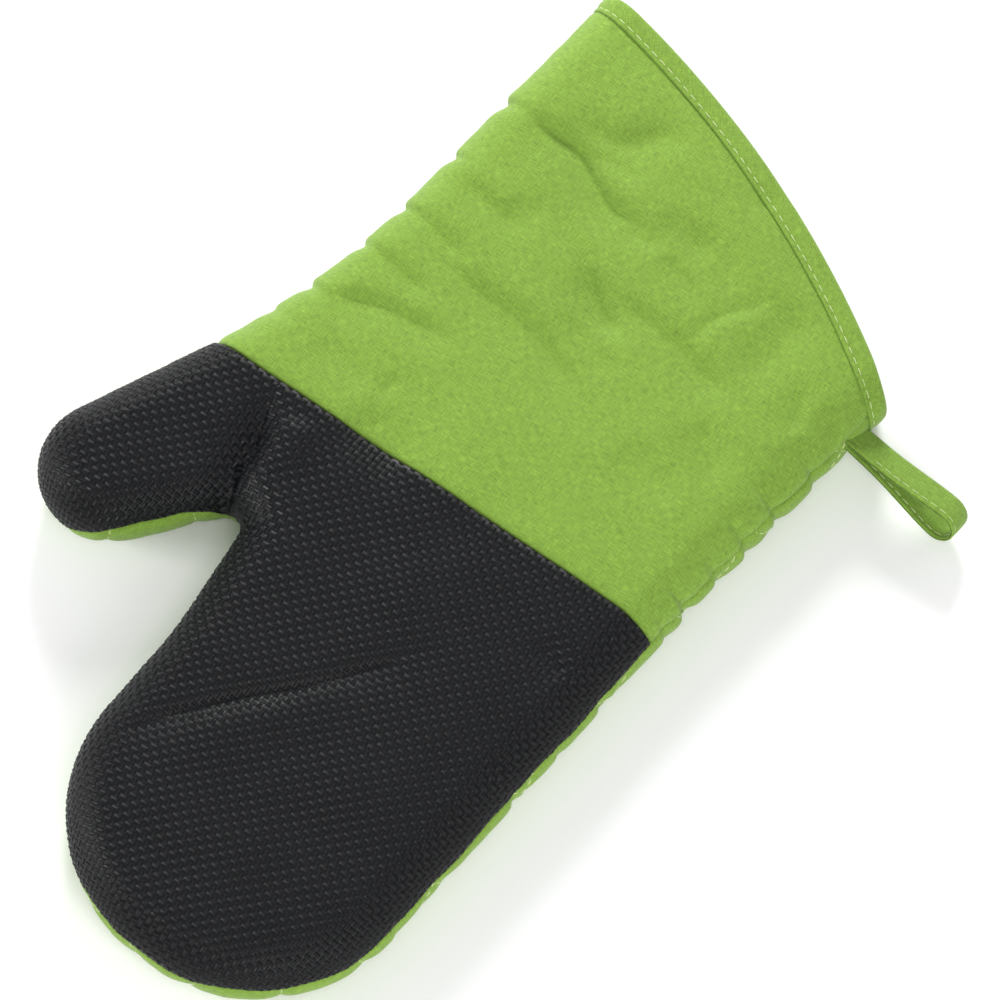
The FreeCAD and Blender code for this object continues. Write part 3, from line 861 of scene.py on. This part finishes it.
GRIP_HEIGHT = 0.36              # rise of the grip's bars
GRIP_GRID = (CELL / 4, 0.52)    # side of the mesh's cells on the flat, and step along the rim
GRIP_TUCK, COTTON_TUCK = 2.2, 2.0       # how deep an edge turns under at a seam
WADDING_AT = {1: 2.6, -1: 3.0}  # depth of the wadding's outer face on the palm side and the back
LINING_AT, LINING_GAP, LINING_END = 5.7, 0.1, 0.9       # depth of the wadding's inner face; the lining beyond it
HEM_STITCH, QUILT_STITCH, LOOP_STITCH = (3.2, 3.9), (2.8, 3.9), (3.1, 3.7)      # length and pitch


def finish_piece(obj, motion, slot, *nodes):
    """Attach a piece to its body or pass it to its motion function, and hide the CAD nodes it stands for; slot is not
    used.
    """
    if callable(motion):
        motion(obj)
    else:
        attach(obj, motion)
    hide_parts(*nodes)


def bend_fingers(obj):
    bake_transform(obj)


def bend_thumb(obj):
    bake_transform(obj)


def grip_relief(uv):
    """Raised bars that change direction from cell to cell like a basket weave."""
    c = uv / CELL
    f = np.abs(c - np.floor(c) - 0.5)
    odd = (np.floor(c[:, 0] + 1e-6) + np.floor(c[:, 1] + 1e-6)) % 2 > 0.5
    across = np.where(odd, f[:, 0], f[:, 1])
    along = np.where(odd, f[:, 1], f[:, 0])
    return np.exp(-(across / 0.21) ** 2) * (1 - 0.5 * (2 * along) ** 8)


def grip_displace(panel):
    edge_gap = np.minimum(seam_distance(panel), rim_seam_distance(panel))
    crease = nearest(panel.plan, resample([edge(S_CREASE)[0], *CREASE_PATH], 0.4))
    quiet = np.clip(np.minimum(edge_gap / 1.2, (crease - 1.0) / 1.5), 0, 1)
    d = GRIP_HEIGHT * grip_relief(panel.uv) * quiet
    d -= roll(edge_gap, 1.1) + 0.25 * np.exp(-(edge_gap / 2.5) ** 2)
    on = panel.rim_s >= 0
    d[on] -= pucker(panel.rim_s[on]) * 0.4 * np.cos(panel.psi[on]) ** 2
    return d


def cotton_displace(panel):
    edge_gap = np.minimum(seam_distance(panel), rim_seam_distance(panel))
    d = -roll(edge_gap, 1.1) - 0.75 * np.exp(-(edge_gap / 2.2) ** 2)
    on = panel.rim_s >= 0
    d[on] -= pucker(panel.rim_s[on]) * np.cos(panel.psi[on])
    d -= 0.35 * np.exp(-((hem_distance(panel.plan) - (HEM_R - 8.0)) / 0.8) ** 2)
    return d


def back_displace(panel):
    gap = rim_seam_distance(panel)
    d = 0.8 * panel.rise + back_swell(panel.uv[:, 0], panel.uv[:, 1]) * (0.45 + 0.55 * panel.rise)
    d -= roll(gap, 0.9) + 0.5 * np.exp(-(gap / 2.5) ** 2)
    on = panel.rim_s >= 0
    d[on] -= pucker(panel.rim_s[on]) * np.clip(np.cos(panel.psi[on]), 0, 1) ** 2
    t = pressed(hem_distance(panel.plan))
    return d * (1 - t) - t


def make_cloths():
    """The visible cloths; the two back panels are kept for the quilting thread."""
    back, back_thumb = whole_hand_panel(-1, 1.1, 0.9), thumb_panel(-1, 1.0, 0.8)
    table = (
        ("grip_hand", palm_hand_panel(*GRIP_GRID), grip_displace, GRIP_TUCK, MAT_GRIP,
         bend_fingers, "grip", "palm_grip", "finger_grip"),
        ("grip_thumb", thumb_panel(1, *GRIP_GRID), grip_displace, GRIP_TUCK, MAT_GRIP,
         bend_thumb, "grip", "thumb_grip"),
        ("cuff_cover", cuff_panel(0.9, 0.8), cotton_displace, COTTON_TUCK, MAT_COTTON,
         "hand", "cotton", "cuff_palm_cover"),
        ("back_hand", back, back_displace, COTTON_TUCK, MAT_BACK,
         bend_fingers, "cotton", "back_cover", "finger_back_cover"),
        ("back_thumb", back_thumb, back_displace, COTTON_TUCK, MAT_BACK,
         bend_thumb, "cotton", "thumb_back_cover"),
    )
    for name, panel, displace, tuck, material, *last_steps in table:
        obj = sheet_mesh(name, panel, displace(panel), tuck, material)
        finish_piece(obj, *last_steps)
    return back, back_thumb


BACK, BACK_T = make_cloths()


def wall_taper(panel, depth):
    """Inner layers thin out towards the hem, where the stitching presses them together."""
    t = np.clip((hem_distance(panel.plan) - (HEM_R - 22)) / 18, 0, 1)
    return depth * (1 - 0.38 * ease(t))


def make_inner_layers():
    for label, face in (("palm", 1), ("back", -1)):
        hand = whole_hand_panel(face, 2.4, 2.0)
        thumb = thumb_panel(face, 2.0, 1.8)
        for part, panel, bend in (("hand", hand, bend_fingers), ("thumb", thumb, bend_thumb)):
            outer, inner = wall_taper(panel, WADDING_AT[face]), wall_taper(panel, LINING_AT)
            pad = layer_mesh(f"wadding_{label}_{part}", panel, outer, inner, MAT_WADDING)
            lining = layer_mesh(f"lining_{label}_{part}", panel, inner + LINING_GAP, inner + LINING_END, MAT_LINING)
            prefix = "" if part == "hand" else "thumb_"
            stems = [f"{prefix}{label}_"] + ([f"finger_{label}_"] if part == "hand" else [])
            finish_piece(pad, bend, "wadding", *[stem + "padding" for stem in stems])
            finish_piece(lining, bend, "lining", *[stem + "lining" for stem in stems])


make_inner_layers()

# ---- hem binding


def rim_station(end, psi, radius):
    """Station along the edge where the rim line at an angle meets a hem circle."""
    lo, hi = (S_HEM_L - 30, S_HEM_L + 60) if end == "L" else (S_HEM_R - 60, S_HEM_R + 30)
    s = np.linspace(max(lo, S[0]), min(hi, S[-1]), 400)
    p, n = edge(s)
    d = hem_distance(p + n * RIM * (1 - math.cos(psi))) - radius
    return float(np.interp(0, -d if end == "L" else d, s))


def outer_point(end, psi, theta, face, radius):
    """A point of the mitt's outer face near the hem, with its outward normal."""
    if end in "LR":
        s = rim_station(end, psi, radius)
        p, n = edge(np.array([s]))
        plan = p[0] + n[0] * RIM * (1 - math.cos(psi))
        normal = np.array([*(-n[0] * math.cos(psi)), math.sin(psi)])
        z = MID_Z + RIM * math.sin(psi)
        inside = RIM * (1 - math.cos(psi))
        rise = max(0.0, math.sin(psi)) ** 1.2
    else:
        plan = HEM_C + polar(radius, theta)
        normal = np.array([0, 0, float(face)])
        z = MID_Z + face * RIM
        inside = 40.0
        rise = 1.0 if face > 0 else 0.0
    return np.array([*plan, z]), normal, inside, rise


def ring_stations(step=0.9):
    """The mouth's outline as places that can be asked for at any radius."""
    psis = np.linspace(-math.pi / 2, math.pi / 2, int(math.pi * RIM / step))
    t0, t1 = (bearing(outer_point(end, math.pi / 2, 0, 1, HEM_R)[0][:2] - HEM_C) for end in "RL")
    across = np.linspace(t0, t1, int((t1 - t0) * HEM_R / step))[1:-1]
    return ([("R", p, 0.0, 0) for p in psis] + [("T", 0.0, t, 1) for t in across]
            + [("L", p, 0.0, 0) for p in psis[::-1]] + [("B", 0.0, t, -1) for t in across[::-1]])


STATIONS = ring_stations()


def hem_surface(radius):
    """The outer face of the covers at one radius, all round the mouth, with normals."""
    p, n, inside, rise = (np.array(column) for column in zip(*[outer_point(*st, radius) for st in STATIONS]))
    real_inside = np.where(inside < 40, inside, np.minimum(nearest(p[:, :2], SP[::5]), 60))
    p[:, 2] += top_field(p[:, 0], p[:, 1], real_inside) * rise
    down = n[:, 2] < -0.01
    p[down] -= n[down] * (pressed(radius) * np.abs(n[down, 2:3]))
    sides = np.abs(n[:, 2]) < 0.999
    p[sides] -= n[sides] * 0.6 * (1 - np.abs(n[sides, 2:3]))
    return p, n


TAPE_WIDTH = 7.6        # the finished binding, from the hem to its folded edge
WALL = 4.6              # the cloths and wadding that the binding wraps
# The tape's cross-section from its palm edge over the hem to its inner edge: distance from the hem, depth
# below the outer face.
TAPE_SECTION = [
    (TAPE_WIDTH - 0.9, 1.2), (TAPE_WIDTH - 0.35, 0.6), (TAPE_WIDTH - 0.12, 0.1), (TAPE_WIDTH, -0.2),
    (TAPE_WIDTH - 0.12, -0.52), (TAPE_WIDTH - 0.7, -0.66), (TAPE_WIDTH - 1.45, -0.34), (TAPE_WIDTH - 2.1, -0.62),
    (TAPE_WIDTH - 3.0, -0.84), (TAPE_WIDTH - 4.4, -0.92), (2.2, -0.88), (1.2, -0.66), (0.5, -0.2), (0.1, 0.8),
    (0.0, 1.8), (0.1, WALL - 1.4), (0.6, WALL - 0.4), (1.4, WALL), (TAPE_WIDTH - 3.0, WALL + 0.25),
    (TAPE_WIDTH - 1.2, WALL + 0.2), (TAPE_WIDTH - 0.2, WALL), (TAPE_WIDTH, WALL - 0.5),
]


def wobble(count):
    """A slow wander round the mouth, between -1 and 1, that ends where it starts."""
    walk = np.cumsum(np.random.default_rng(5).normal(0, 1, count))
    walk = walk - np.linspace(walk[0], walk[-1], count)
    kernel = np.exp(-np.linspace(-2, 2, 21) ** 2)
    walk = np.convolve(np.concatenate([walk[-10:], walk, walk[:10]]), kernel / kernel.sum(), "valid")
    return walk / np.abs(walk).max()


def make_binding():
    rows = []
    count = len(STATIONS)
    wob = wobble(count)
    for back, depth in TAPE_SECTION:
        p, n = hem_surface(HEM_R - back)
        radial = p[:, :2] - HEM_C
        radial /= np.linalg.norm(radial, axis=1)[:, None]
        q = p - n * depth
        q[:, :2] += radial * (0.35 * wob * (back / TAPE_WIDTH))[:, None]
        rows.append(q)
    run = run_along(rows[8])
    lengthwise = np.tile(run, len(rows))
    crosswise = np.repeat(run_along(np.array(TAPE_SECTION)), count)
    # bias cloth: the weave runs at 45 degrees to the tape
    uv = np.stack([lengthwise + crosswise, lengthwise - crosswise], -1) / ROOT2
    obj = to_mesh("hem_binding_tape", np.concatenate(rows), tube(len(rows), count, flip=True), uv, MAT_BIND)
    finish_piece(obj, "hand", "binding", "hem_binding")


DASH_SIDES, DASH_RINGS = 6, 6


def dash(a, b, normal, radius, lift):
    """Points of one stitch: a short round thread from a to b that dips at both ends."""
    d = b - a
    length = np.linalg.norm(d)
    d = d / length
    side = np.cross(d, normal / np.linalg.norm(normal))
    side /= np.linalg.norm(side)
    up = np.cross(side, d)
    co = []
    for t in np.linspace(0, 1, DASH_RINGS):
        centre = a + d * length * t + up * (lift - (abs(2 * t - 1) ** 3) * (lift + radius * 0.9))
        r = radius * (0.55 + 0.45 * (1 - abs(2 * t - 1) ** 4))
        for ang in 2 * math.pi * np.arange(DASH_SIDES) / DASH_SIDES:
            co.append(centre + (side * math.cos(ang) + up * math.sin(ang)) * r)
    return co


def stitches(name, dashes, radius=0.23, lift=0.14):
    co, polys = [], []
    for row in dashes:
        polys += [[k + len(co) for k in f] for f in tube(DASH_RINGS, DASH_SIDES, capped=True)]
        co += dash(*row, radius, lift)
    return to_mesh(name, np.array(co), polys, None, MAT_THREAD)


def along_path(points, normals, length, pitch, start=0.0, stop=None):
    """Dashes laid along a path of points."""
    run = run_along(points)
    stop = run[-1] if stop is None else stop
    out = []
    t = start
    while t + length < stop:
        a, b = (np.array([np.interp(q, run, points[:, k]) for k in range(3)]) for q in (t, t + length))
        out.append((a, b, np.array([np.interp(t + length / 2, run, normals[:, k]) for k in range(3)])))
        t += pitch
    return out


def make_hem():
    make_binding()
    p, n = hem_surface(HEM_R - (TAPE_WIDTH - 1.5))
    p = p + n * 0.34
    half = sum(st[0] == "R" for st in STATIONS) // 2
    far = half + sum(st[0] in "RT" for st in STATIONS)
    for label, order in (("palm", np.r_[half:far]), ("back", np.r_[far:len(p), 0:half])):
        obj = stitches(f"hem_stitches_{label}", along_path(p[order], n[order], *HEM_STITCH))
        finish_piece(obj, "hand", "thread", f"hem_stitch_{label}")


make_hem()

# ---- quilting thread on the back


def on_back(panel, displace, where):
    """3-D places and normals on a back panel for flat places, blended from the nearest vertices."""
    tree = tree_of(panel.uv)
    co = panel.base + panel.normal * displace[:, None]
    points, normals, gaps = [], [], []
    for q in where:
        found = tree.find_n((q[0], q[1], 0), 4)
        w = np.array([1 / (f[2] + 0.05) for f in found])
        idx = [f[1] for f in found]
        w /= w.sum()
        points.append((co[idx] * w[:, None]).sum(0))
        normals.append((panel.normal[idx] * w[:, None]).sum(0))
        gaps.append(found[0][2])
    return np.array(points), np.array(normals), np.array(gaps)


def quilt_dashes(panel):
    displace = back_displace(panel)
    lo, hi = panel.uv.min(0), panel.uv.max(0)
    length, pitch = QUILT_STITCH
    t = np.arange(-320, 320, pitch)
    dashes = []
    for at, sign in zip(QUILT_AT, (1, -1)):
        for offset in at + QUILT * np.arange(-12, 14):
            p0, p1 = (np.stack([offset + q, sign * (offset - q)], -1) / ROOT2 for q in (t, t + length))
            keep = ((p0 > lo) & (p0 < hi) & (p1 > lo) & (p1 < hi)).all(1)
            if not keep.any():
                continue
            q0, n0, g0 = on_back(panel, displace, p0[keep])
            q1, n1, g1 = on_back(panel, displace, p1[keep])
            for a, b, n, gap in zip(q0, q1, n0 + n1, np.maximum(g0, g1)):
                if gap < 0.75 and 2.0 < np.linalg.norm(b - a) < 3.4 and hem_distance(a) < HEM_R - 9:
                    dashes.append((a, b, n))
    return dashes


def make_quilting():
    for part, panel, bend, nodes in (("hand", BACK, bend_fingers, ("hand", "fingers")),
                                     ("thumb", BACK_T, bend_thumb, ("thumb",))):
        obj = stitches(f"quilt_stitches_{part}", quilt_dashes(panel), 0.28, 0.10)
        finish_piece(obj, bend, "thread", *[f"quilting_thread_{node}" for node in nodes])


make_quilting()

# ---- hanging loop

LOOP_ROOT = np.array([69.72, 100.0, 15.0])
LOOP_ROLL, LOOP_DROP = math.radians(-25), math.radians(10)
LOOP_HALF_W, LOOP_HALF_T = 5.3, 0.66
# Across the tape: two folded layers whose open edges meet along one side, in shares of the half width and
# half thickness. The strips of the slit are left out.
LOOP_TOP = [
    (-0.985, 0.6), (-0.93, 0.95), (-0.75, 1.08), (-0.2, 1.12), (0.3, 1.10), (0.54, 1.05), (0.62, 0.78),
    (0.70, 0.78), (0.79, 1.06), (0.92, 1.0), (0.99, 0.66), (1.0, 0.24),
]
LOOP_SECTION = [(-1.0, 0.0), *LOOP_TOP, (0.88, 0.0), *[(w, -t) for w, t in LOOP_TOP[::-1]]]
LOOP_SLIT = (12, 13)
LOOP_STITCH_AT = 0.66       # share of the half width where the edge stitch runs


def loop_axes():
    c, s = math.cos(LOOP_ROLL), math.sin(LOOP_ROLL)
    cd, sd = math.cos(LOOP_DROP), math.sin(LOOP_DROP)
    turn = np.array([[cd, 0, sd], [0, 1, 0], [-sd, 0, cd]]) @ np.array([[1, 0, 0], [0, c, -s], [0, s, c]])
    return turn[:, 0], turn[:, 1], turn[:, 2]


def loop_path():
    """Middle line of the tape, along the lower leg, round the eye and back along the upper leg."""
    small, large, run = 1.3, 5.4, 34.0
    lean = math.asin((large - small) / run)

    def leg(t, side, sag):
        height = small + (large - small) * t - sag * math.sin(math.pi * t) * (1 - t)
        return t * (run - large * math.sin(lean)), side * height

    turn = np.linspace(-math.pi / 2 - lean, math.pi / 2 + lean, 22)[1:-1]
    path = np.array([(-7.0, -0.9), (-3.0, -1.1), *[leg(t, -1, 1.1) for t in np.linspace(0, 1, 18)],
                     *[(run + large * math.cos(a) * 1.02, large * math.sin(a)) for a in turn],
                     *[leg(t, 1, 1.3) for t in np.linspace(1, 0, 18)], (-3.0, 1.1), (-7.0, 0.9)])
    for _ in range(3):
        path[1:-1] = 0.25 * path[:-2] + 0.5 * path[1:-1] + 0.25 * path[2:]
    return resample(path, 0.6)


def make_loop():
    ax, wy, tz = loop_axes()
    path = loop_path()
    run = run_along(path)
    share = run / run[-1]
    tangent = np.gradient(path, axis=0)
    tangent /= np.linalg.norm(tangent, axis=1)[:, None]
    outward = np.stack([tangent[:, 1], -tangent[:, 0]], -1)
    pinch = 1 - 0.10 * np.exp(-((share - 0.5) / 0.10) ** 2)
    sway = 0.9 * np.sin(math.pi * share) ** 2
    cup = 0.35 * np.sin(9 * share + 0.6)

    def place(i, across, lift):
        """A point of the tape, from its share of the half width and its lift off the middle line."""
        x, z = path[i] + outward[i] * lift
        return LOOP_ROOT + ax * x + tz * z - wy * (across * LOOP_HALF_W * pinch[i] + sway[i])

    co, uv = [], []
    for i, length in enumerate(run):
        for k, (w, t) in enumerate(LOOP_SECTION):
            co.append(place(i, w, t * LOOP_HALF_T + cup[i] * 0.25 * (w * w - 0.4)))
            uv.append((length, w * LOOP_HALF_W + (20 if k > LOOP_SLIT[0] else 0)))
    polys = tube(len(path), len(LOOP_SECTION), skip=LOOP_SLIT)
    obj = to_mesh("loop_tape", np.array(co), polys, np.array(uv), MAT_TAPE)
    finish_piece(obj, "loop", "loop_tape", "hanging_loop")
    dashes = []
    for side in (1, -1):
        points = np.array([place(i, LOOP_STITCH_AT, 0.80 * LOOP_HALF_T * side) for i in range(len(path))])
        normals = (outward[:, :1] * ax + outward[:, 1:] * tz) * side
        dashes += along_path(points, normals, *LOOP_STITCH, start=8.0, stop=run[-1] - 8)
    finish_piece(stitches("loop_stitches", dashes, 0.18, 0.10), "loop", "thread", "loop_edge_stitch")


TAIL_TOP = [(-1, 0.3), (-0.96, 0.9), (-0.5, 1.0), (0.0, 0.92), (0.5, 1.0), (0.96, 0.9), (1, 0.3)]
TAIL_SECTION = TAIL_TOP + [(w, -t) for w, t in TAIL_TOP[::-1]]


def make_loop_tail():
    """The loop's end that the side seam holds."""
    c, s = math.cos(LOOP_ROLL), math.sin(LOOP_ROLL)
    across, thick = np.array([0, c, s]), np.array([0, -s, c])
    xs = np.linspace(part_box("loop_tail")[0][0] * 1000 + 1, 66.0, 14)
    co = np.array([[x, *LOOP_ROOT[1:]] + across * w * 4.2 + thick * (t * 1.25 + 0.15 * math.sin(x))
                   for x in xs for w, t in TAIL_SECTION])
    polys = tube(len(xs), len(TAIL_SECTION), flip=True, capped=True)
    obj = to_mesh("loop_tail_tape", co, polys, co[:, :2], MAT_TAPE)
    finish_piece(obj, "hand", "loop_tape", "loop_tail")


make_loop()
make_loop_tail()

# ---- floor and light


def add_floor():
    mesh = bpy.data.meshes.new("floor")
    r = 3.0
    mesh.from_pydata([(-r, -r, 0), (r, -r, 0), (r, r, 0), (-r, r, 0)], [], [(0, 1, 2, 3)])
    mesh.materials.append(Nodes("floor").set(Base_Color=(0.96, 0.96, 0.96, 1), Roughness=0.9))
    add_object("floor", mesh)


def add_light(name, place, size, power, aim=(0, 0, 0)):
    data = bpy.data.lights.new(name, "AREA")
    data.shape = "DISK"
    data.size = size
    data.energy = power
    light = add_object(name, data)
    light.location = place
    light.rotation_euler = (Vector(aim) - Vector(place)).to_track_quat("-Z", "Y").to_euler()


def add_lights():
    world = bpy.data.worlds.new("studio")
    world.use_nodes = True
    background = world.node_tree.nodes["Background"]
    background.inputs["Color"].default_value = (1, 1, 1, 1)
    background.inputs["Strength"].default_value = 0.40
    bpy.context.scene.world = world
    # The key comes low from the picture's upper left, with a broad soft light above.
    add_light("key", (-0.75, 1.05, 0.6), 0.45, 22.0, aim=(-0.02, 0, 0))
    add_light("top", (0.5, -0.4, 1.35), 0.8, 5.4)
    add_light("left", (-1.05, -0.85, 0.42), 0.55, 12.0)
    add_light("right", (1.0, -0.55, 0.6), 1.0, 10.5)


bpy.context.scene.view_settings.view_transform = "Standard"
add_floor()
add_lights()
